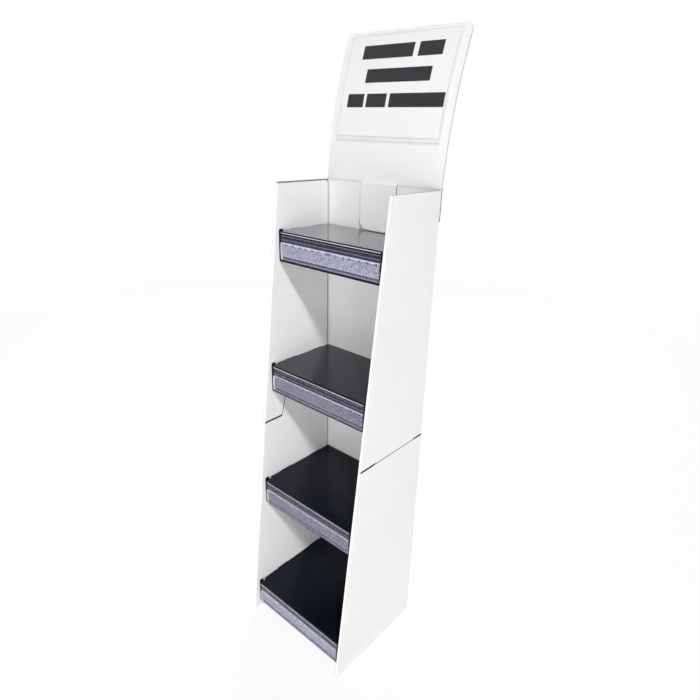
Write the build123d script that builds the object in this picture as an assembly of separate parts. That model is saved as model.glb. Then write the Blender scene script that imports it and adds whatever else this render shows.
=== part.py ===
"""Free-standing cardboard display stand: two stacked folded bodies of white corrugated board,
four black folded shelves with clear price strips, and a curved header card with a sign pocket.

Millimetres. +Z is up, the open front faces -Y, and the origin is on the floor in the middle
of the stand's plan area, header included.
"""

from build123d import *
import os
from math import atan, cos, radians, sin, tan

# Driving dimensions of the two stacked bodies
width = 356.0  # across the outer faces of the sides
depth_bottom = 329.0  # front edge to back face at the floor
depth_top = 182.0  # front edge to back face at the top of the sides
lower_height = 636.0  # outer plies of the lower body
upper_height = 630.5  # outer plies of the upper body
seam_gap = 2.5  # open line between the two bodies, clear of the tabs
seam_close = 1.0  # the same line along the tabs
board = 3.2  # one ply of white corrugated board
ply_gap = 0.8  # space between the two plies of a side
corner_radius = 3.0  # outside of the folds between the back and the sides
inner_ply_gap = 4.0  # from the free edge of an inner ply to the back
inner_ply_corner = 8.0  # rounding of an inner ply's free corner at the top of the stand
inner_ply_drop = 3.0  # the inner plies end below the top of the outer ones

# Tabs on the inner plies of the lower body that carry the upper one
tab_front = 138.0  # from the foot of the front edge back to the foot of the tab
tab_back = 38.0  # from the back face to the foot of the tab
tab_height = 100.0
tab_lean = 15.0  # degrees, each end of the tab leans in
tab_corner = 8.0
tab_clearance = 1.0

# Shelves
shelf_1_rise = 100.0  # from the floor to the bottom shelf's surface
shelf_2_drop = 180.0  # below the top of the lower body
shelf_3_rise = 165.5  # above the foot of the upper body
shelf_4_drop = 115.0  # below the top of the upper body
shelf_board = 3.0
shelf_side_clearance = 0.4
shelf_back_clearance = 0.5
shelf_setback = 17.0  # from the sloping front edge to the front flap, at mid flap
front_flap = 76.0
other_flaps = 45.0  # height of the side and back flaps
shelf_fold_radius = 2.0
return_length = 13.0  # end flaps of the front, folded back along the sides
return_rise = 4.0  # an end flap stands above the shelf's surface
relief_width = 9.0  # die-cut gap between a return and the side flap
relief_depth = 9.0
slit = 0.8  # knife cut beside a return and at the rear corners
overcut = 1.0  # how far a cut runs past the sheet that it opens

# Lugs of the shelves, in slots of the inner plies
lug_length = 40.0
lug_places = (0.32, 0.78)  # along the shelf's depth, from the front
lug_thickness = 2.6
slot_clearance = 0.6

# Clear price strips and the tape behind them
strip_margin = 13.0  # bare flap at each end
strip_below_top = 2.5  # from the shelf surface to the strip's top bead
strip_above_foot = 7.0  # from the flap's lower edge to the strip
strip_wall = 1.0
strip_pocket = 42.0  # height of the front lens that holds a label
strip_pocket_gap = 2.0
strip_bow = 0.9  # how far the lens bows out at mid height
strip_bead = 2.6
strip_rib = 1.2
strip_rib_places = (0.32, 0.68)  # between the lens and the bead
tape_thickness = 0.8
tape_height = 34.0
tape_end = 3.0  # strip left bare of tape at each end

# Header card, behind the back's top edge and bent backwards, with a tongue in front of it
header_rise = 344.0  # along the curve, from the top of the slits
header_radius = 1080.0
header_tilt = 3.6  # degrees, at the foot of the curve
header_board = 3.0
header_corner = 20.0
header_slack = 0.3
tongue_step = 4.0  # over which the tongue steps across the back's top edge
tongue_width = 111.0
tongue_corner = 26.0
tongue_kick = 2.0  # degrees, the tongue stands off the back
tongue_clearance = 2.0  # above the top shelf
header_slit = 3.0
shoulder_drop = 70.0  # how far the card reaches down behind the back

# Sign pocket on the header
pocket_width = 318.0
pocket_height = 243.0
pocket_foot = 92.0  # along the curve, from the top of the slits
pocket_sheet = 0.5
pocket_space = 0.7
pocket_side_seam = 5.0
pocket_foot_seam = 11.0
pocket_corner = 6.0
pocket_slack = 0.2  # each side of the tape, between the bent sheets
pocket_tape_height = 19.0
pocket_tape_inset = 8.0
insert_width = 304.8
insert_height = 228.6
insert_thickness = 0.3

# Values worked out from the driving dimensions
upper_foot = lower_height + seam_gap
body_height = upper_foot + upper_height
shelf_tops = (
    shelf_1_rise,
    lower_height - shelf_2_drop,
    upper_foot + shelf_3_rise,
    body_height - shelf_4_drop,
)
slope = atan((depth_bottom - depth_top) / body_height)
side_thick = 2 * board + ply_gap
clear_half = width / 2 - side_thick  # middle to the inner face of a side
tilt = radians(header_tilt)
curve_foot_z = body_height + tongue_step
card_behind = header_slack + header_board / 2  # back face to the middle of the card's foot


def curve_angle(along):
    """Lean of the header, in radians, at a distance along its curve."""
    return tilt + along / header_radius


header_overhang = (
    header_radius * (cos(tilt) - cos(curve_angle(header_rise)))
    + header_board / 2 * cos(curve_angle(header_rise))
    + card_behind
)
back_face = (depth_bottom - header_overhang) / 2
front_foot = back_face - depth_bottom
back_inner = back_face - board
back_middle = back_face - board / 2
card_middle = back_face + card_behind


def front_edge(z):
    """Y of the sloping front edge of the sides at a height."""
    return front_foot + (depth_bottom - depth_top) * z / body_height


def span(x0, x1, y0, y1, z0, z1):
    """Box between two corners."""
    return Pos((x0 + x1) / 2, (y0 + y1) / 2, (z0 + z1) / 2) * Box(x1 - x0, y1 - y0, z1 - z0)


def both_sides(right):
    """A right-hand piece with its mirror image."""
    return [right, mirror(right, about=Plane.YZ)]


# Bodies


def double_side(z0, z1):
    """Right-hand side: an outer and an inner ply, one sheet folded along the sloping front edge."""
    fold = side_thick / 2
    reach = 2 * (depth_bottom + body_height * sin(slope))
    outside = Pos(0, fold) * Circle(fold) + Pos(0, fold + reach / 2) * Rectangle(side_thick, reach)
    inside = Pos(0, fold) * Circle(ply_gap / 2) + Pos(0, fold + reach / 2) * Rectangle(ply_gap, reach)
    edge_plane = Plane(
        origin=(width / 2 - fold, front_edge(0), 0),
        x_dir=(1, 0, 0),
        z_dir=(0, sin(slope), cos(slope)),
    )
    sheet = extrude(edge_plane * (outside - inside), amount=2 * body_height, both=True)
    sheet &= span(0, width, 2 * front_foot, back_middle, z0, z1)
    free_edge = back_inner - inner_ply_gap
    plies = width / 2 - board
    return sheet - span(0, plies, free_edge, back_face, z0 - overcut, z1 + overcut)


def folded_body(z0, z1):
    """Back and both sides of one body, between two heights."""
    body = span(-width / 2, width / 2, back_inner, back_face, z0, z1)
    for side in both_sides(double_side(z0, z1)):
        body += side
    corners = [
        e
        for e in body.edges().filter_by(Axis.Z)
        if abs(abs(e.center().X) - width / 2) < 0.01 and abs(e.center().Y - back_face) < 0.01
    ]
    return fillet(corners, corner_radius)


def seam_tab(grow):
    """Tab on the right-hand inner ply of the lower body, or the notch round it, wider by grow."""
    lean = tab_height * tan(radians(tab_lean))
    front = front_foot + tab_front - grow
    back = back_face - tab_back + grow
    top = lower_height + tab_height
    root = lower_height - board
    outline = Polyline(
        (front, root),
        (front, lower_height),
        (front + lean, top),
        (back - lean, top),
        (back, lower_height),
        (back, root),
        close=True,
    )
    face = fillet(make_face(outline).vertices().group_by(Axis.Y)[-1], tab_corner)
    inner_face = Plane(origin=(clear_half, 0, 0), x_dir=(0, 1, 0), z_dir=(1, 0, 0))
    return extrude(inner_face * face, amount=board)


def lug_spans(shelf_top):
    """Front and rear Y of each lug of a shelf."""
    front = shelf_front(shelf_top)
    depth = shelf_back - front
    for place in lug_places:
        middle = front + place * depth
        yield middle - lug_length / 2, middle + lug_length / 2


def lug_slots():
    """Slots for the shelves' lugs, through the right-hand inner ply."""
    for shelf_top in shelf_tops:
        floor = shelf_top - shelf_board
        for y0, y1 in lug_spans(shelf_top):
            front = y0 - slot_clearance
            back = y1 + slot_clearance
            top = floor + lug_thickness + slot_clearance
            yield span(clear_half - board, clear_half + board + ply_gap / 2, front, back, floor, top)


def with_slots(body, z0, z1):
    """A body with the slots that fall between two heights."""
    for right in lug_slots():
        if z0 < right.center().Z < z1:
            for slot in both_sides(right):
                body -= slot
    return body


def lower_body():
    body = folded_body(0, lower_height)
    for tab in both_sides(seam_tab(0)):
        body += tab
    return with_slots(body, 0, lower_height)


def end_reliefs():
    """Shallow cuts in front of the tabs and behind them, where the seam is wider."""
    foot = lower_height + seam_close - overcut
    fold_end = front_edge(lower_height) + side_thick
    yield span(-width, width, fold_end, front_foot + tab_front, foot, upper_foot)
    yield span(-width, width, back_face - tab_back, back_face + overcut, foot, upper_foot)


def upper_body():
    body = folded_body(lower_height + seam_close, body_height)
    for relief in end_reliefs():
        body -= relief
    free_edge = back_inner - inner_ply_gap
    inner_top = body_height - inner_ply_drop
    ply_middle = width / 2 - side_thick / 2
    above = span(0, ply_middle, 2 * front_foot, free_edge, inner_top, body_height + overcut)
    for cut in both_sides(above):
        body -= cut
    free_corners = [
        e
        for e in body.edges().filter_by(Axis.X)
        if abs(e.center().Y - free_edge) < 0.01 and abs(e.center().Z - inner_top) < 0.01
    ]
    body = fillet(free_corners, inner_ply_corner)
    for notch in both_sides(seam_tab(tab_clearance)):
        body -= notch
    return with_slots(body, upper_foot, body_height)


# Shelves


def shelf_front(shelf_top):
    """Y of a shelf's front flap."""
    return front_edge(shelf_top - front_flap / 2) + shelf_setback


shelf_back = back_inner - shelf_back_clearance
shelf_half = clear_half - shelf_side_clearance


def shelf(shelf_top):
    """Black tray of one sheet: top, front flap with end returns, side flaps with lugs, back flap."""
    front = shelf_front(shelf_top)
    foot = shelf_top - front_flap
    under = shelf_top - shelf_board
    inner_half = shelf_half - shelf_board
    tray = span(-shelf_half, shelf_half, front, shelf_back, foot, shelf_top)
    folds = tray.edges().group_by(Axis.Z)[-1] + tray.edges().filter_by(Axis.Z).group_by(Axis.Y)[0]
    tray = fillet(folds, shelf_fold_radius)
    rear_flap = shelf_back - shelf_board
    below = foot - overcut
    above = shelf_top + overcut
    tray -= span(-inner_half, inner_half, front + shelf_board, rear_flap, below, under)
    return_end = front + return_length
    flap_start = return_end + relief_width
    tray -= span(-width, width, return_end, back_face, below, shelf_top - other_flaps)
    relief = span(shelf_half - relief_depth, width, return_end, flap_start, below, above)
    slit_start = inner_half - slit
    return_slit = span(slit_start, inner_half, front + shelf_board, flap_start, under - overcut, above)
    rear_slit = span(slit_start, inner_half, rear_flap, back_face, foot, under)
    right_cuts = [relief, return_slit, rear_slit]
    reach = clear_half + board + ply_gap / 2
    return_top = shelf_top + return_rise
    raised = [span(inner_half, shelf_half, front + shelf_fold_radius, return_end, under, return_top)]
    for y0, y1 in lug_spans(shelf_top):
        right_cuts.append(span(inner_half, width, y0, y1, under - (reach - shelf_half), under))
        raised.append(span(inner_half, reach, y0, y1, under, under + lug_thickness))
    for right in right_cuts:
        for cut in both_sides(right):
            tray -= cut
    for right in raised:
        for piece in both_sides(right):
            tray += piece
    return tray


# Price strips


def strip_foot(shelf_top):
    """Z of a price strip's lower edge."""
    return shelf_top - front_flap + strip_above_foot


def strip_tape(shelf_top):
    """Double-sided tape between a front flap and its price strip, up to the top of the label pocket."""
    front = shelf_front(shelf_top)
    half = shelf_half - strip_margin - tape_end
    foot = strip_foot(shelf_top) + strip_pocket - tape_height
    return span(-half, half, front - tape_thickness, front, foot, foot + tape_height)


def price_strip(shelf_top):
    """Clear extrusion: back wall with a top bead and ribs, and a bowed lens turned up at the foot."""
    rear = shelf_front(shelf_top) - tape_thickness
    face = rear - strip_wall
    foot = strip_foot(shelf_top)
    top = shelf_top - strip_below_top
    turn = strip_pocket_gap / 2 + strip_wall
    lens_foot = foot + turn
    lens_top = foot + strip_pocket
    lens_mid = (lens_foot + lens_top) / 2
    lens_in = face - strip_pocket_gap
    lens_out = lens_in - strip_wall
    bead = strip_bead / 2
    wall_height = top - bead - lens_foot
    wall = Pos((rear + face) / 2, lens_foot + wall_height / 2) * Rectangle(strip_wall, wall_height)
    lens = make_face(
        [
            Line((lens_in, lens_foot), (lens_out, lens_foot)),
            ThreePointArc((lens_out, lens_foot), (lens_out - strip_bow, lens_mid), (lens_out, lens_top)),
            Line((lens_out, lens_top), (lens_in, lens_top)),
            ThreePointArc((lens_in, lens_top), (lens_in - strip_bow, lens_mid), (lens_in, lens_foot)),
        ]
    )
    turn_middle = Pos(rear - turn, lens_foot)
    ring = turn_middle * (Circle(turn) - Circle(strip_pocket_gap / 2))
    ring -= Pos(rear - turn, lens_foot + turn) * Rectangle(4 * turn, 2 * turn)
    section = wall + lens + ring
    section += Pos((lens_in + lens_out) / 2, lens_top) * Circle(strip_wall * 0.75)
    section += Pos(rear - bead, top - bead) * Circle(bead)
    for place in strip_rib_places:
        section += Pos(face, lens_top + place * (top - lens_top)) * Circle(strip_rib / 2)
    section -= Pos(rear + turn, (foot + top) / 2) * Rectangle(2 * turn, front_flap)
    half = shelf_half - strip_margin
    end = Plane(origin=(-half, 0, 0), x_dir=(0, 1, 0), z_dir=(1, 0, 0))
    return extrude(end * section, amount=2 * half)


# Header


def on_curve(along, ahead):
    """(Y, Z) at a distance along the header's curve, and ahead of the card's middle."""
    angle = curve_angle(along)
    radius = header_radius + ahead
    centre_y = card_middle + header_radius * cos(tilt)
    centre_z = curve_foot_z - header_radius * sin(tilt)
    return centre_y - radius * cos(angle), centre_z + radius * sin(angle)


def curved_sheet(half, rear, front, start, end):
    """Sheet bent with the header, between two distances ahead of its middle and two along its curve."""
    middle = (start + end) / 2
    outline = make_face(
        [
            ThreePointArc(on_curve(start, rear), on_curve(middle, rear), on_curve(end, rear)),
            Line(on_curve(end, rear), on_curve(end, front)),
            ThreePointArc(on_curve(end, front), on_curve(middle, front), on_curve(start, front)),
            Line(on_curve(start, front), on_curve(start, rear)),
        ]
    )
    plane = Plane(origin=(-half, 0, 0), x_dir=(0, 1, 0), z_dir=(1, 0, 0))
    return extrude(plane * outline, amount=2 * half)


def rounded_below(sheet, radius):
    """A sheet with its two lower corners rounded."""
    return rounded(sheet, radius, 0)


def rounded_above(sheet, radius):
    """A sheet with its two upper corners rounded."""
    return rounded(sheet, radius, -1)


def rounded(sheet, radius, end):
    """A sheet with the short edges at its lower (0) or upper (-1) corners rounded."""
    through = [e for e in sheet.edges() if abs(e.tangent_at(0.5).X) < 0.01]
    short = sorted(through, key=lambda e: e.length)[:4]
    return fillet(ShapeList(short).group_by(Axis.Z)[end], radius)


def bent_strip(x0, x1, points):
    """Strip of header card through points in (Y, Z), from the foot of the curve down."""
    half = header_board / 2
    outline = Polyline(
        *[(y - half, z) for y, z in points], *[(y + half, z) for y, z in reversed(points)], close=True
    )
    plane = Plane(origin=(x0, 0, 0), x_dir=(0, 1, 0), z_dir=(1, 0, 0))
    return extrude(plane * make_face(outline), amount=x1 - x0)


def header_card():
    """One curved card: the shoulders hang behind the back, and the middle tongue in front of it."""
    card = curved_sheet(width / 2, -header_board / 2, header_board / 2, 0, header_rise)
    card = rounded_above(card, header_corner)
    start = (card_middle, curve_foot_z)
    tongue_end = shelf_tops[-1] + tongue_clearance
    kick = (body_height - tongue_end) * tan(radians(tongue_kick))
    ahead = back_inner - card_behind
    half = tongue_width / 2
    tongue = bent_strip(-half, half, [start, (ahead, body_height), (ahead - kick, tongue_end)])
    card += rounded_below(tongue, tongue_corner)
    shoulder_start = half + header_slit
    shoulder = bent_strip(shoulder_start, width / 2, [start, (card_middle, body_height - shoulder_drop)])
    web = bent_strip(half, shoulder_start, [start, (card_middle, body_height)])
    for piece in both_sides(shoulder) + both_sides(web):
        card += piece
    return card


# Sign pocket

tape_rear = header_board / 2 + pocket_slack
tape_front = tape_rear + tape_thickness
pocket_rear = tape_front + pocket_slack
pocket_front = pocket_rear + 2 * pocket_sheet + pocket_space


def pocket_tape(start):
    """Strip of double-sided tape between the header and the pocket, from a distance up the curve."""
    half = pocket_width / 2 - pocket_tape_inset
    return curved_sheet(half, tape_rear, tape_front, start, start + pocket_tape_height)


def sign_pocket():
    """Clear sleeve of two sheets, welded at the foot and sides and open at the top."""
    end = pocket_foot + pocket_height
    sleeve = curved_sheet(pocket_width / 2, pocket_rear, pocket_front, pocket_foot, end)
    sleeve = rounded_below(sleeve, pocket_corner)
    half = pocket_width / 2 - pocket_side_seam
    rear = pocket_rear + pocket_sheet
    start = pocket_foot + pocket_foot_seam
    return sleeve - curved_sheet(half, rear, rear + pocket_space, start, end + overcut)


def sign_insert():
    """Sheet of paper that stands on the pocket's foot seam."""
    rear = pocket_rear + pocket_sheet + (pocket_space - insert_thickness) / 2
    start = pocket_foot + pocket_foot_seam
    return curved_sheet(insert_width / 2, rear, rear + insert_thickness, start, start + insert_height)


nodes = {
    "lower_body": lower_body(),
    "upper_body": upper_body(),
    "header_card": header_card(),
    "pocket_tape_low": pocket_tape(pocket_foot + pocket_tape_inset),
    "pocket_tape_high": pocket_tape(
        pocket_foot + pocket_height - pocket_tape_inset - pocket_tape_height
    ),
    "sign_pocket": sign_pocket(),
    "sign_insert": sign_insert(),
}
for number, shelf_top in enumerate(shelf_tops, start=1):
    nodes[f"shelf_{number}"] = shelf(shelf_top)
    nodes[f"strip_tape_{number}"] = strip_tape(shelf_top)
    nodes[f"price_strip_{number}"] = price_strip(shelf_top)

os.makedirs("parts", exist_ok=True)
for name, solid in nodes.items():
    export_step(solid, f"parts/{name}.step")
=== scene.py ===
import math

import bpy
from mathutils import Matrix, Vector


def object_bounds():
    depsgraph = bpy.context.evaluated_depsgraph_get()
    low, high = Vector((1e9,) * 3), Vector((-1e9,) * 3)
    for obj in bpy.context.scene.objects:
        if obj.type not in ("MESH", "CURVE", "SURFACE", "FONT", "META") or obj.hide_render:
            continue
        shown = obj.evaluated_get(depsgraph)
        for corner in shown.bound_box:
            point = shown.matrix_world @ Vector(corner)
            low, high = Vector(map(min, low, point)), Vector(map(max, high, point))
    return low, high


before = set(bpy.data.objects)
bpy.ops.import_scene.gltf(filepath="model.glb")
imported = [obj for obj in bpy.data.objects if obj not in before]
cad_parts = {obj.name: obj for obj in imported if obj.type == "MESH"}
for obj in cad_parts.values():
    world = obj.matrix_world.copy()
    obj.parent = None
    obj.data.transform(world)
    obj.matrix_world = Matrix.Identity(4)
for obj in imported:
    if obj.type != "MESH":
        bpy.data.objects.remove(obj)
cad_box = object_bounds()

# Sizes of the two folded bodies that the finishes follow, in metres
WIDTH = cad_box[1][0] - cad_box[0][0]
DEPTH = 0.329
BODY_HEIGHT = 1.269
FRONT_SET_BACK = 0.147
BOARD = 0.0032
PLY_GAP = 0.0008
FLUTE_PITCH = 0.0064
FLUTE_SHARE = 0.36
FRONT_FOOT = cad_box[0][1]
FRONT_SLOPE = FRONT_SET_BACK / BODY_HEIGHT
BACK_FACE = FRONT_FOOT + DEPTH
BACK_INNER = BACK_FACE - BOARD
BACK_MIDDLE = BACK_FACE - BOARD / 2
BETWEEN_PLIES = WIDTH / 2 - BOARD - PLY_GAP / 2
INNER_PLY_MIDDLE = WIDTH / 2 - BOARD - PLY_GAP - BOARD / 2

# Seam of the two bodies and the tabs that join them, in metres
SEAM_FOOT = 0.636
SEAM_TOP = 0.738
SEAM_OPEN = 0.0025
SEAM_CLOSE = 0.001
SEAM_SOFT = 0.001
TAB_FRONT = FRONT_FOOT + 0.138
TAB_BACK = BACK_FACE - 0.038
TAB_TOP = 0.736
TAB_LEAN = math.radians(15.0)
TAB_ROUNDING = 0.0099
OUTER_OPEN_SHORTER = 0.008

# Shelf fronts, with depths below a shelf's surface, in metres
SHELF_TOPS = (0.100, 0.456, 0.804, 1.154)
FRONT_FLAP = 0.076
STRIP_HALF = 0.1574
STRIP_BEAD = 0.0051
STRIP_RIBS = (0.0103, 0.0192)
STRIP_LIP = 0.027
STRIP_FOOT = 0.069
TAPE_FOOT = 0.061
SCALLOP_PITCH = 0.024

# Header card and its pocket, in metres
HEADER_BOARD = 0.003
HEADER_RADIUS = 1.08
HEADER_TILT = math.radians(3.6)
HEADER_FOOT = BODY_HEIGHT + 0.004
HEADER_BEHIND = 0.0018
SLIT_TOP = HEADER_FOOT + 0.002
HEADER_CENTRE_Y = BACK_FACE + HEADER_BEHIND + HEADER_RADIUS * math.cos(HEADER_TILT)
HEADER_CENTRE_Z = HEADER_FOOT - HEADER_RADIUS * math.sin(HEADER_TILT)
POCKET_HALF = 0.159
POCKET_FOOT = 0.092
POCKET_FOOT_SEAM = 0.011
POCKET_SIDE_SEAM = 0.005

# Printed bars of the sign, in metres: the foot of each row, and the left and right end of each bar
BAR_HEIGHT = 0.030
PRINT_ROWS = (
    (1.546, ((-0.112, 0.038), (0.052, 0.119))),
    (1.494, ((-0.088, 0.101),)),
    (1.440, ((-0.134, -0.082), (-0.074, -0.013), (-0.004, 0.150))),
)

# Widths and softness of the finishes, with the spread of the painted shade beside the seam and the slit, in
# metres
FACE_TOLERANCE = 0.0005
FOLD_DEPTH = 0.012
PAINTED_SHADE_SPREAD = 0.0014
FOLD_GREY_BAND = 0.0024
INK_SOFT = 0.0003

# How squarely a face points along an axis to count as a cut edge
SQUARE = 0.9
CURVED_SQUARE = 0.6

# Finishes, as linear colours
COATED_WHITE = (0.85, 0.845, 0.842, 1.0)
COATED_SHADE = (0.80, 0.79, 0.782, 1.0)
RUB_AND_FOLD_GREY = (0.50, 0.485, 0.47, 1.0)
KRAFT_PAPER = (0.30, 0.245, 0.19, 1.0)
KRAFT_PAINTED_SHADE = (0.06, 0.05, 0.04, 1.0)
SEAM_PAINTED_SHADE = (0.03, 0.026, 0.023, 1.0)
PALE_PAPER = (0.66, 0.64, 0.62, 1.0)
PALE_PAINTED_SHADE = (0.36, 0.345, 0.33, 1.0)
LAMINATE_BLACK = (0.0028, 0.0044, 0.0105, 1.0)
LAMINATE_WORN = (0.0052, 0.0068, 0.0138, 1.0)
LAMINATE_SCUFF = (0.035, 0.035, 0.04, 1.0)
LAMINATE_SHINE = (0.93, 0.95, 1.0, 1.0)
STRIP_TINT = (0.36, 0.35, 0.54, 1.0)
STRIP_PAINTED_HIGHLIGHT = (0.90, 0.90, 0.96, 1.0)
TAPE_DARK = (0.14, 0.145, 0.202, 1.0)
TAPE_PALE = (0.475, 0.482, 0.585, 1.0)
TAPE_STUCK = (0.07, 0.07, 0.12, 1.0)
TAPE_EDGE = (0.88, 0.88, 0.97, 1.0)
FILM_TINT = (0.86, 0.87, 0.88, 1.0)
FILM_WELD = (0.56, 0.56, 0.58, 1.0)
SHEET_WHITE = (0.83, 0.83, 0.835, 1.0)
SHEET_SHADE = (0.81, 0.81, 0.815, 1.0)
PRINT_INK = (0.008, 0.008, 0.011, 1.0)
PRINT_WORN = (0.025, 0.025, 0.032, 1.0)
FLOOR_PALE = (0.86, 0.86, 0.86, 1.0)
PLAIN_WHITE = (1.0, 1.0, 1.0, 1.0)

# Floor, light and camera, in metres, radians and shares of 1, with the lens in millimetres
FLOOR_SIZE = 60.0
FLOOR_SHADOW = 0.15
FLOOR_SHADOW_REACH = 6.0
AMBIENT = 0.05
COOL_LIGHT = (0.98, 0.975, 1.0)
WARM_LIGHT = (1.0, 0.965, 0.95)
NEUTRAL_LIGHT = (1.0, 1.0, 1.0)
CAMERA_PLACE = (0.86695, BACK_FACE - 1.0779, 1.38912)
CAMERA_YAW = 0.7005
CAMERA_PITCH = 0.4039
CAMERA_ROLL = 0.0305
LENS_MM = 27.737
SENSOR_MM = 36.0
LENS_SHIFT = (-0.01662, 0.01515)
VIEW_REACH = 100.0


# Node building


class Field:
    """What a node puts out at each place of a surface. Arithmetic on it adds math nodes."""

    def __init__(self, tree, socket):
        self.tree = tree
        self.socket = socket

    def __add__(self, other):
        return calc(self.tree, "ADD", self, other)

    def __sub__(self, other):
        return calc(self.tree, "SUBTRACT", self, other)

    def __rsub__(self, other):
        return calc(self.tree, "SUBTRACT", other, self)

    def __mul__(self, other):
        return calc(self.tree, "MULTIPLY", self, other)

    def __pow__(self, other):
        return calc(self.tree, "POWER", self, other)

    def __abs__(self):
        return calc(self.tree, "ABSOLUTE", self)

    def __gt__(self, limit):
        return calc(self.tree, "GREATER_THAN", self, limit)

    def __lt__(self, limit):
        return calc(self.tree, "LESS_THAN", self, limit)

    def __or__(self, other):
        """The higher of two, which joins masks."""
        return calc(self.tree, "MAXIMUM", self, other)

    __radd__ = __add__
    __rmul__ = __mul__


def feed(node, inputs):
    """Link a node's inputs to fields, or set them to constants."""
    for key, value in inputs.items():
        if isinstance(value, Field):
            value.tree.links.new(value.socket, node.inputs[key])
        else:
            node.inputs[key].default_value = value


def add_node(tree, kind, inputs, **settings):
    """A node with its settings and its inputs."""
    made = tree.nodes.new(kind)
    for key, value in settings.items():
        setattr(made, key, value)
    feed(made, inputs)
    return made


def calc(tree, operation, *values):
    """Output of a math node."""
    made = add_node(tree, "ShaderNodeMath", dict(enumerate(values)), operation=operation)
    return Field(tree, made.outputs[0])


def fade(value, low, high):
    """0 below low, 1 above high, and smooth between."""
    inputs = {"Value": value, "From Min": low, "From Max": high}
    made = add_node(value.tree, "ShaderNodeMapRange", inputs, interpolation_type="SMOOTHSTEP")
    return Field(value.tree, made.outputs["Result"])


def fade_out(value, low, high):
    """1 below low, 0 above high, and smooth between."""
    return 1.0 - fade(value, low, high)


def band(value, middle, half, soft):
    """1 within half of a middle value, and fading to 0 beyond it."""
    return fade_out(abs(value - middle), half, half + soft)


def blend_value(factor, first, second):
    """Number between two, by a factor."""
    inputs = {"Factor": factor, "A": first, "B": second}
    made = add_node(factor.tree, "ShaderNodeMix", inputs, data_type="FLOAT")
    return Field(factor.tree, made.outputs[0])


def blend_colour(factor, first, second):
    """Colour between two, by a factor, on the mix node's sockets for colours."""
    made = add_node(factor.tree, "ShaderNodeMix", {0: factor, 6: first, 7: second}, data_type="RGBA")
    return Field(factor.tree, made.outputs[2])


def noise(place, scale=1.0, detail=2.0, roughness=0.5):
    """Noise between 0 and 1 at a place."""
    inputs = {"Vector": place, "Scale": scale, "Detail": detail, "Roughness": roughness}
    return Field(place.tree, add_node(place.tree, "ShaderNodeTexNoise", inputs).outputs["Fac"])


def cells(place, scale):
    """Distance from the middle of the nearest of many irregular cells."""
    made = add_node(place.tree, "ShaderNodeTexVoronoi", {"Vector": place, "Scale": scale})
    return Field(place.tree, made.outputs["Distance"])


def stretched(place, scale):
    """A place scaled along each axis."""
    made = add_node(place.tree, "ShaderNodeMapping", {"Vector": place, "Scale": scale})
    return Field(place.tree, made.outputs["Vector"])


def split(vector):
    """X, Y and Z of a vector."""
    made = add_node(vector.tree, "ShaderNodeSeparateXYZ", {"Vector": vector})
    return [Field(vector.tree, socket) for socket in made.outputs]


def surface_normal(tree, kind):
    """X, Y and Z of a surface's normal, either Normal or True Normal."""
    return split(Field(tree, tree.nodes.new("ShaderNodeNewGeometry").outputs[kind]))


def slant(tree, weight):
    """0 where a surface is seen straight on, and 1 at its rim."""
    made = add_node(tree, "ShaderNodeLayerWeight", {"Blend": weight})
    return Field(tree, made.outputs["Facing"])


def bump(relief, strength, distance):
    """Normal of a surface with a relief."""
    inputs = {"Strength": strength, "Distance": distance, "Height": relief}
    return Field(relief.tree, add_node(relief.tree, "ShaderNodeBump", inputs).outputs["Normal"])


def build_group(name, inputs, outputs, rule):
    """Node group whose rule works out its named outputs from its inputs."""
    tree = bpy.data.node_groups.new(name, "ShaderNodeTree")
    for socket_name, kind in inputs.items():
        tree.interface.new_socket(name=socket_name, in_out="INPUT", socket_type=kind)
    for socket_name in outputs:
        tree.interface.new_socket(name=socket_name, in_out="OUTPUT", socket_type="NodeSocketFloat")
    start = tree.nodes.new("NodeGroupInput")
    results = rule(*(Field(tree, start.outputs[socket_name]) for socket_name in inputs))
    feed(tree.nodes.new("NodeGroupOutput"), dict(zip(outputs, results)))
    return tree


def place_group(tree, group, inputs):
    """Outputs, by name, of a node group in a material."""
    made = add_node(tree, "ShaderNodeGroup", inputs, node_tree=group)
    return {socket.name: Field(tree, socket) for socket in made.outputs}


def new_material(name):
    """Material with its tree, its shader and the place on the piece."""
    material = bpy.data.materials.new(name)
    material.use_nodes = True
    tree = material.node_tree
    place = Field(tree, tree.nodes.new("ShaderNodeTexCoord").outputs["Object"])
    return material, tree, tree.nodes["Principled BSDF"], place


# Shared effects


def mark_by_handling(place, rub_amount):
    """Marks of handling on a faced board: slow tone, fine fibre and sparse rubs."""
    tone = noise(place, scale=6.0, detail=3.0)
    fibre = noise(place, scale=900.0)
    streaks = noise(stretched(place, (60.0, 60.0, 9.0)), detail=4.0, roughness=0.65)
    patches = noise(place, scale=9.0, detail=1.0)
    rub = fade(streaks, low=0.62, high=0.75) * fade(patches, low=0.45, high=0.65)
    return tone, fibre, rub * rub_amount


def ripple_flutes(along):
    """Wave of the flutes along a board, from -1 to 1."""
    return calc(along.tree, "SINE", along * (2 * math.pi / FLUTE_PITCH))


def cut_flutes(along, across, board):
    """Paper in the cut edge of corrugated board: two facings with a wave between them."""
    wave = ripple_flutes(along) * (board * FLUTE_SHARE)
    medium = fade_out(abs(across - wave), low=0.00018, high=0.00042)
    facing = fade(abs(across), low=0.00105, high=0.0013)
    return [medium | facing]


def drop_below_shelf(place):
    """How far a place is below the surface of the shelf whose front it is on."""
    z = split(place)[2]
    drop = SHELF_TOPS[0] - z
    for lower, upper in zip(SHELF_TOPS, SHELF_TOPS[1:]):
        higher = z > (lower + upper - FRONT_FLAP) / 2
        drop = drop + higher * (upper - lower)
    return [drop]


def follow_header(place):
    """Distance along the header's curve, and ahead of the middle of its card."""
    _, y, z = split(place)
    before = HEADER_CENTRE_Y - y
    above = z - HEADER_CENTRE_Z
    along = (calc(place.tree, "ARCTAN2", above, before) - HEADER_TILT) * HEADER_RADIUS
    ahead = calc(place.tree, "SQRT", before * before + above * above) - HEADER_RADIUS
    return along, ahead


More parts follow.
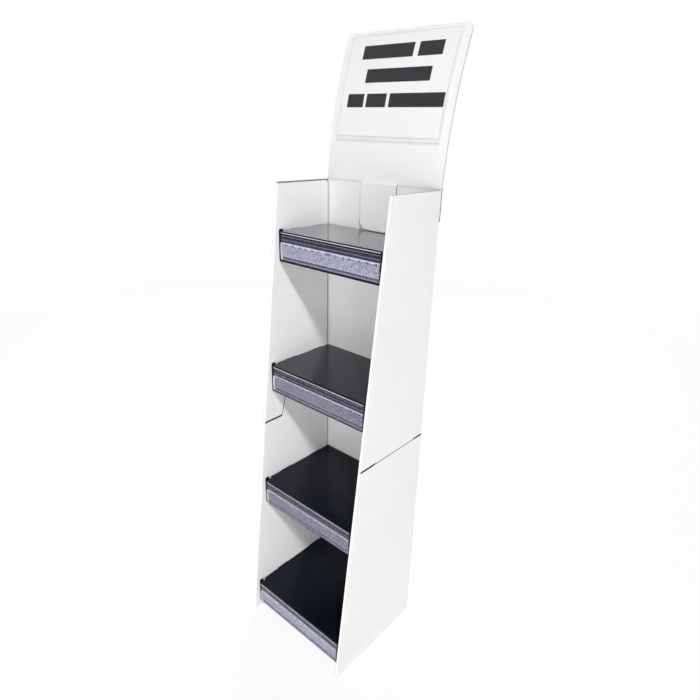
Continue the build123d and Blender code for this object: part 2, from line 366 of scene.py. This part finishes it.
at_place = {"Place": "NodeSocketVector"}
handling_marks = build_group(
    "handling_marks",
    {**at_place, "Rub Amount": "NodeSocketFloat"},
    ["Tone", "Fibre", "Rub"],
    mark_by_handling,
)
flute_edge = build_group(
    "flute_edge", dict.fromkeys(["Along", "Across", "Board"], "NodeSocketFloat"), ["Paper"], cut_flutes
)
below_shelf = build_group("below_shelf", at_place, ["Drop"], drop_below_shelf)
on_header = build_group("on_header", at_place, ["Along", "Ahead"], follow_header)


# Materials


def raw_edge_colour(place, along, across, board, hollow_shade_colour, paper_colour):
    """Colour of a cut edge, with its flutes, and painted shade in the hollows between them."""
    edge = place_group(place.tree, flute_edge, {"Along": along, "Across": across, "Board": board})
    grain = noise(place, scale=700.0)
    return blend_colour(edge["Paper"] * (grain * 0.5 + 0.7), hollow_shade_colour, paper_colour)


def finish_board(shader, place, flutes, raw_and_shade, raw_and_shade_colour, rub_amount, fold_grey=0.0):
    """White coated facing with faint flutes and rubs, and the given edge colour, brown cut board with
    painted shade, where the board is cut or shade is painted.
    """
    marks = place_group(place.tree, handling_marks, {"Place": place, "Rub Amount": rub_amount})
    face = blend_colour(marks["Tone"], COATED_WHITE, COATED_SHADE)
    face = blend_colour(marks["Rub"] | fold_grey, face, RUB_AND_FOLD_GREY)
    relief = flutes * 0.5 + marks["Fibre"] * 0.25
    feed(
        shader,
        {
            "Base Color": blend_colour(raw_and_shade, face, raw_and_shade_colour),
            "Roughness": 0.42 + marks["Tone"] * 0.12 + raw_and_shade * 0.4,
            "Specular IOR Level": 0.3,
            "Normal": bump(relief, strength=0.35, distance=0.00006),
        },
    )


def tab_slit(y, z):
    """1 along the slit round the tabs that join the two bodies, where shade is painted on the faces beside
    it.
    """
    above_seam = z - SEAM_FOOT
    lean = above_seam * math.tan(TAB_LEAN)
    from_front = y - TAB_FRONT - lean
    from_back = TAB_BACK - y - lean
    from_ends = calc(y.tree, "MINIMUM", from_front, from_back) * math.cos(TAB_LEAN)
    inside = calc(y.tree, "SMOOTH_MIN", from_ends, TAB_TOP - z, TAB_ROUNDING)
    slit = band(inside, middle=-SEAM_CLOSE / 2, half=PAINTED_SHADE_SPREAD, soft=0.0004)
    return slit * (above_seam > 0.0)


def seam_line(y, z, in_outer):
    """1 along the seam of the two bodies, where its shade is painted on the faces beside it, wide where it
    stands open and thin along the tabs.
    """
    open_front = (y + in_outer * OUTER_OPEN_SHORTER) < TAB_FRONT
    open_back = y > TAB_BACK
    wide_half = SEAM_OPEN / 2 + PAINTED_SHADE_SPREAD
    thin_half = SEAM_CLOSE / 2 + PAINTED_SHADE_SPREAD / 2
    wide = band(z, middle=SEAM_FOOT + SEAM_OPEN / 2, half=wide_half, soft=0.0003)
    thin = band(z, middle=SEAM_FOOT + SEAM_CLOSE / 2, half=thin_half, soft=0.0003)
    return wide * (open_front | open_back) | thin * in_outer * 0.8


def coated_body_board():
    """White board of the two folded bodies."""
    material, tree, shader, place = new_material("coated_body_board")
    x, y, z = split(place)
    _, normal_y, normal_z = surface_normal(tree, "True Normal")
    from_middle = abs(x)
    in_outer = from_middle > BETWEEN_PLIES
    in_back = y > BACK_INNER - FACE_TOLERANCE
    behind_front = y - FRONT_FOOT - z * FRONT_SLOPE

    # Brown of a cut edge with painted shade between its flutes, and painted shade on the cut edges inside
    # the seam
    ply_middle = INNER_PLY_MIDDLE + in_outer * (BOARD + PLY_GAP)
    across = blend_value(in_back, from_middle - ply_middle, y - BACK_MIDDLE)
    along = blend_value(in_back, y, x)
    raw_and_shade_colour = raw_edge_colour(place, along, across, BOARD, KRAFT_PAINTED_SHADE, KRAFT_PAPER)
    seam_half = (SEAM_TOP - SEAM_FOOT) / 2
    in_seam = band(z, middle=SEAM_FOOT + seam_half, half=seam_half + SEAM_SOFT, soft=SEAM_SOFT)
    raw_and_shade_colour = blend_colour(in_seam, raw_and_shade_colour, SEAM_PAINTED_SHADE)

    # Where the board is cut or open between its plies, and painted shade beside the slit and the seam
    level = abs(normal_z) > SQUARE
    upright = abs(normal_y) > SQUARE
    free_edge = upright * (1.0 - in_back) * (behind_front > FOLD_DEPTH)
    between = band(from_middle, middle=BETWEEN_PLIES, half=PLY_GAP / 2 + 0.0001, soft=0.0001)
    between = between * (behind_front > BOARD + FACE_TOLERANCE)
    painted_gap_shade = tab_slit(y, z) * (1.0 - in_outer) * 0.75 | seam_line(y, z, in_outer)
    raw_and_shade = level | free_edge | between | painted_gap_shade * (behind_front > BOARD)

    # Outer corner of the front folds, grey in random patches
    corner = fade(from_middle, low=WIDTH / 2 - FOLD_GREY_BAND, high=WIDTH / 2 - FOLD_GREY_BAND / 4)
    fold_grey = corner * fade_out(behind_front, low=0.0015, high=0.004) * noise(place, scale=55.0) * 0.9
    finish_board(shader, place, ripple_flutes(x + y), raw_and_shade, raw_and_shade_colour, rub_amount=0.22, fold_grey=fold_grey)
    return material


def coated_header_board():
    """White board of the curved header card, with painted shade between the flutes of its cut edges and on
    its sides below the slits.
    """
    material, tree, shader, place = new_material("coated_header_board")
    x, _, z = split(place)
    normal_x, _, normal_z = surface_normal(tree, "True Normal")
    ahead = place_group(tree, on_header, {"Place": place})["Ahead"]
    raw_and_shade_colour = raw_edge_colour(place, x, ahead, HEADER_BOARD, PALE_PAINTED_SHADE, PALE_PAPER)
    raw_and_shade_colour = blend_colour(z < SLIT_TOP, raw_and_shade_colour, KRAFT_PAINTED_SHADE)
    raw_and_shade = (abs(normal_x) > CURVED_SQUARE) | (abs(normal_z) > SQUARE)
    finish_board(shader, place, ripple_flutes(x), raw_and_shade, raw_and_shade_colour, rub_amount=0.12)
    return material


def black_shelf_board():
    """Black laminated board of the shelves, glossy where it is seen at a slant."""
    material, tree, shader, place = new_material("black_shelf_board")
    marks = place_group(tree, handling_marks, {"Place": place, "Rub Amount": 0.35})
    face = blend_colour(marks["Tone"], LAMINATE_BLACK, LAMINATE_WORN)
    relief = marks["Fibre"] + noise(place, scale=40.0) * 4.0
    feed(
        shader,
        {
            "Base Color": blend_colour(marks["Rub"], face, LAMINATE_SCUFF),
            "Roughness": 0.13 + marks["Tone"] * 0.08 + marks["Rub"] * 0.3,
            "IOR": 1.25,
            "Coat Weight": fade(slant(tree, weight=0.5), low=0.38, high=0.84),
            "Coat IOR": 1.42,
            "Coat Roughness": 0.09,
            "Coat Tint": LAMINATE_SHINE,
            "Normal": bump(relief, strength=0.2, distance=0.00008),
        },
    )
    return material


def clear_strip_plastic():
    """Clear extruded plastic: nearly see-through face on, with painted highlights at its bead, ribs, lip,
    foot and left cut end.
    """
    material, tree, shader, place = new_material("clear_strip_plastic")
    from_left = split(place)[0] + STRIP_HALF
    normal_z = surface_normal(tree, "Normal")[2]
    drop = place_group(tree, below_shelf, {"Place": place})["Drop"]

    # Painted highlights along the strip and at its left end
    bead = fade_out(drop, low=STRIP_BEAD - 0.0014, high=STRIP_BEAD - 0.0006)
    bead = bead * fade_out(normal_z, low=0.55, high=0.9)
    lip = band(drop, middle=STRIP_LIP, half=0.0006, soft=0.0005)
    foot = fade(drop, low=STRIP_FOOT - 0.0024, high=STRIP_FOOT - 0.0016)
    below_lip = fade(drop, low=STRIP_LIP - 0.001, high=STRIP_LIP + 0.001)
    end = fade_out(from_left, low=0.0016, high=0.0026) * below_lip
    painted_highlight = bead | lip * 0.6 | foot * 0.35 | end
    for rib in STRIP_RIBS:
        painted_highlight = painted_highlight | band(drop, middle=rib, half=0.0005, soft=0.0004) * 0.32

    # Haze between the bead and the lip, and below the tape
    drawn = noise(stretched(place, (2.0, 260.0, 260.0)), detail=1.0)
    haze = fade(drop, low=STRIP_BEAD, high=STRIP_LIP) * 0.045
    haze = haze + fade(drop, low=TAPE_FOOT, high=TAPE_FOOT + 0.003) * 0.05 + drawn * 0.02
    rim = slant(tree, weight=0.3) ** 2.6
    feed(
        shader,
        {
            "Base Color": blend_colour(painted_highlight, STRIP_TINT, STRIP_PAINTED_HIGHLIGHT),
            "Roughness": 0.10 + drawn * 0.06,
            "Alpha": haze + rim * 0.2 + painted_highlight * 0.62,
        },
    )
    return material


def mottled_strip_tape():
    """Milky tape behind a price strip, mottled where it has wetted out, with a scalloped upper edge."""
    material, tree, shader, place = new_material("mottled_strip_tape")
    x = split(place)[0]
    drop = place_group(tree, below_shelf, {"Place": place})["Drop"]

    # Even tone at the left and mottled at the right
    specks = noise(place, scale=210.0, detail=3.0, roughness=0.65)
    mottled = fade(cells(place, scale=180.0) * 0.55 + specks * 0.6, low=0.30, high=0.72)
    calm = 0.62 + (mottled - 0.5) * 0.4
    wetted = fade(noise(place, scale=16.0) + x * 1.4, low=0.34, high=0.52)
    face = blend_colour(blend_value(wetted, calm, mottled), TAPE_DARK, TAPE_PALE)

    # Scallops of the upper edge with a dark nick at each, and pale lines along both edges
    shift = noise(stretched(place, (26.0, 0.0, 7.0)), detail=1.0) * 0.05
    from_nick = calc(tree, "PINGPONG", x + shift, SCALLOP_PITCH / 2)
    nick = band(drop, middle=STRIP_LIP + 0.0052, half=0.0016, soft=0.0022)
    nick = nick * fade_out(from_nick, low=0.0022, high=0.0042)
    face = blend_colour(nick * 0.75, face, TAPE_STUCK)
    below_edge = drop - (STRIP_LIP + 0.0006) - (from_nick * 0.16 + specks * 0.0016)
    foot = fade(drop, low=TAPE_FOOT - 0.0022, high=TAPE_FOOT - 0.0012)
    line = fade_out(below_edge, low=0.0, high=0.0008) | foot * 0.55
    feed(
        shader,
        {
            "Base Color": blend_colour(line, face, TAPE_EDGE),
            "Roughness": 0.35 + specks * 0.3,
        },
    )
    return material


def clear_pocket_film():
    """Clear film of the sign pocket, puckered along its welds."""
    material, tree, shader, place = new_material("clear_pocket_film")
    along = place_group(tree, on_header, {"Place": place})["Along"]
    from_foot = along - POCKET_FOOT
    from_side = POCKET_HALF - abs(split(place)[0])
    pucker = noise(stretched(place, (190.0, 40.0, 40.0)))
    ripple = noise(stretched(place, (14.0, 14.0, 5.0)))

    # Welded strips along the foot and the sides, and the lines at their edges
    foot_weld = fade_out(from_foot, low=POCKET_FOOT_SEAM, high=POCKET_FOOT_SEAM + 0.0006)
    side_weld = fade_out(from_side, low=POCKET_SIDE_SEAM, high=POCKET_SIDE_SEAM + 0.0006)
    weld = foot_weld | side_weld
    wander = (pucker - 0.5) * 0.0012
    weld_line = band(from_foot + wander, middle=POCKET_FOOT_SEAM, half=0.0005, soft=0.0006)
    foot_line = band(from_foot, middle=0.0, half=0.0012, soft=0.0006)
    side_line = band(from_side, middle=POCKET_SIDE_SEAM, half=0.0003, soft=0.0005)
    side_line = side_line | band(from_side, middle=0.0, half=0.0005, soft=0.0005)
    lines = weld_line * 0.15 | foot_line | side_line * 0.12
    rim = slant(tree, weight=0.3) ** 2.4
    feed(
        shader,
        {
            "Base Color": blend_colour(lines, FILM_TINT, FILM_WELD),
            "Roughness": 0.05 + ripple * 0.1,
            "Alpha": 0.012 + lines * 0.36 + weld * 0.03 + rim * 0.2,
            "Normal": bump(ripple + pucker * weld * 0.6, strength=0.3, distance=0.0006),
        },
    )
    return material


def printed_bar(x, z, left, right, foot):
    """1 within one printed bar."""
    beside = abs(x - (left + right) / 2) - (right - left) / 2
    above = abs(z - (foot + BAR_HEIGHT / 2)) - BAR_HEIGHT / 2
    return fade_out(beside | above, low=-INK_SOFT, high=INK_SOFT)


def printed_sheet():
    """White sheet with plain dark bars."""
    material, _, shader, place = new_material("printed_sheet")
    x, _, z = split(place)
    bars = [printed_bar(x, z, left, right, foot) for foot, ends in PRINT_ROWS for left, right in ends]
    ink = bars[0]
    for bar in bars[1:]:
        ink = ink | bar
    paper = blend_colour(noise(place, scale=12.0), SHEET_WHITE, SHEET_SHADE)
    thin_ink = fade(noise(place, scale=300.0, detail=3.0), low=0.5, high=0.8)
    print_colour = blend_colour(thin_ink, PRINT_INK, PRINT_WORN)
    feed(
        shader,
        {
            "Base Color": blend_colour(ink, paper, print_colour),
            "Roughness": 0.6 + noise(place, scale=1200.0) * 0.2,
            "Specular IOR Level": 0.15,
        },
    )
    return material


def pocket_tape_plastic():
    """Pale double-sided tape behind the pocket."""
    material, _, shader, place = new_material("pocket_tape_plastic")
    specks = noise(place, scale=300.0, detail=3.0)
    feed(
        shader,
        {
            "Base Color": blend_colour(specks, SHEET_SHADE, COATED_SHADE),
            "Roughness": 0.4 + specks * 0.2,
        },
    )
    return material


finishes = {
    "lower_body": coated_body_board(),
    "header_card": coated_header_board(),
    "sign_pocket": clear_pocket_film(),
    "sign_insert": printed_sheet(),
    "pocket_tape": pocket_tape_plastic(),
    "shelf": black_shelf_board(),
    "price_strip": clear_strip_plastic(),
    "strip_tape": mottled_strip_tape(),
}
finishes["upper_body"] = finishes["lower_body"]

for name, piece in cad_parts.items():
    finish = next(material for stem, material in finishes.items() if name.startswith(stem))
    for material_slot in piece.material_slots:
        material_slot.material = finish


# Floor, light and camera


def seen_by_eye(tree):
    """1 for what the camera sees straight, in gloss or through plastic."""
    rays = tree.nodes.new("ShaderNodeLightPath").outputs
    straight, gloss, through = (
        Field(tree, rays[kind]) for kind in ("Is Camera Ray", "Is Glossy Ray", "Is Transmission Ray")
    )
    return straight | gloss | through


def lay_floor():
    """Plain pale floor that keeps the stand's soft shadow, and turns plain white further off."""
    bpy.ops.object.select_all(action="DESELECT")
    bpy.ops.mesh.primitive_plane_add(size=FLOOR_SIZE)
    floor = bpy.context.object
    floor.name = "floor"
    material, tree, shader, place = new_material("pale_floor")
    feed(shader, {"Base Color": FLOOR_PALE, "Roughness": 0.9, "Specular IOR Level": 0.0})
    x, y, _ = split(place)
    from_stand = calc(tree, "SQRT", x * x + y * y)
    shadow = fade_out(from_stand, low=0.0, high=FLOOR_SHADOW_REACH) * FLOOR_SHADOW
    glow = add_node(tree, "ShaderNodeEmission", {"Color": PLAIN_WHITE, "Strength": 1.0})
    mix = add_node(tree, "ShaderNodeMixShader", {0: seen_by_eye(tree) * (1.0 - shadow)})
    tree.links.new(shader.outputs["BSDF"], mix.inputs[1])
    tree.links.new(glow.outputs["Emission"], mix.inputs[2])
    tree.links.new(mix.outputs["Shader"], tree.nodes["Material Output"].inputs["Surface"])
    floor.data.materials.append(material)


def light_world():
    """Even light from all round, and a white background."""
    world = bpy.data.worlds.new("studio")
    world.use_nodes = True
    tree = world.node_tree
    strength = blend_value(seen_by_eye(tree), AMBIENT, 1.0)
    feed(tree.nodes["Background"], {"Color": PLAIN_WHITE, "Strength": strength})
    bpy.context.scene.world = world


def hang_lamp(name, place, aim, size, power, colour):
    """Square soft lamp that points at a place."""
    lamp = bpy.data.lights.new(name, "AREA")
    lamp.shape = "SQUARE"
    lamp.color = colour
    lamp.size = size
    lamp.energy = power
    holder = bpy.data.objects.new(name, lamp)
    holder.location = place
    holder.rotation_euler = (Vector(aim) - Vector(place)).to_track_quat("-Z", "Y").to_euler()
    bpy.context.scene.collection.objects.link(holder)


def hang_lamps():
    """High key lamp at the right, with fills at the front, the right and the rear."""
    hang_lamp(
        "key", place=(8.4, -7.0, 12.45), aim=(7.0, -5.8, 0.0), size=1.8, power=2280.0, colour=NEUTRAL_LIGHT
    )
    hang_lamp(
        "front_fill", place=(0.8, -2.8, 1.2), aim=(0.2, -1.0, -0.7), size=1.0, power=39.0, colour=COOL_LIGHT
    )
    hang_lamp(
        "right_fill", place=(3.4, -2.2, 0.3), aim=(0.0, 0.0, 0.4), size=1.8, power=43.0, colour=WARM_LIGHT
    )
    hang_lamp(
        "rear_fill", place=(-2.2, 2.4, 1.7), aim=(0.0, 0.0, 0.8), size=2.0, power=100.0, colour=NEUTRAL_LIGHT
    )


def set_camera():
    """Camera above and to the right of the open front."""
    level_part = math.cos(CAMERA_PITCH)
    look = Vector(
        (-math.sin(CAMERA_YAW) * level_part, math.cos(CAMERA_YAW) * level_part, -math.sin(CAMERA_PITCH))
    )
    level = look.cross(Vector((0.0, 0.0, 1.0))).normalized()
    upright = level.cross(look)
    right = math.cos(CAMERA_ROLL) * level + math.sin(CAMERA_ROLL) * upright
    up = math.cos(CAMERA_ROLL) * upright - math.sin(CAMERA_ROLL) * level
    lens = bpy.data.cameras.new("camera")
    lens.sensor_width = SENSOR_MM
    lens.lens = LENS_MM
    lens.shift_x, lens.shift_y = LENS_SHIFT
    lens.clip_end = VIEW_REACH
    camera = bpy.data.objects.new("camera", lens)
    bpy.context.scene.collection.objects.link(camera)
    turn = Matrix((right, up, -look)).transposed().to_4x4()
    camera.matrix_world = Matrix.Translation(CAMERA_PLACE) @ turn
    bpy.context.scene.camera = camera


lay_floor()
light_world()
hang_lamps()
set_camera()
bpy.context.scene.view_settings.view_transform = "Standard"
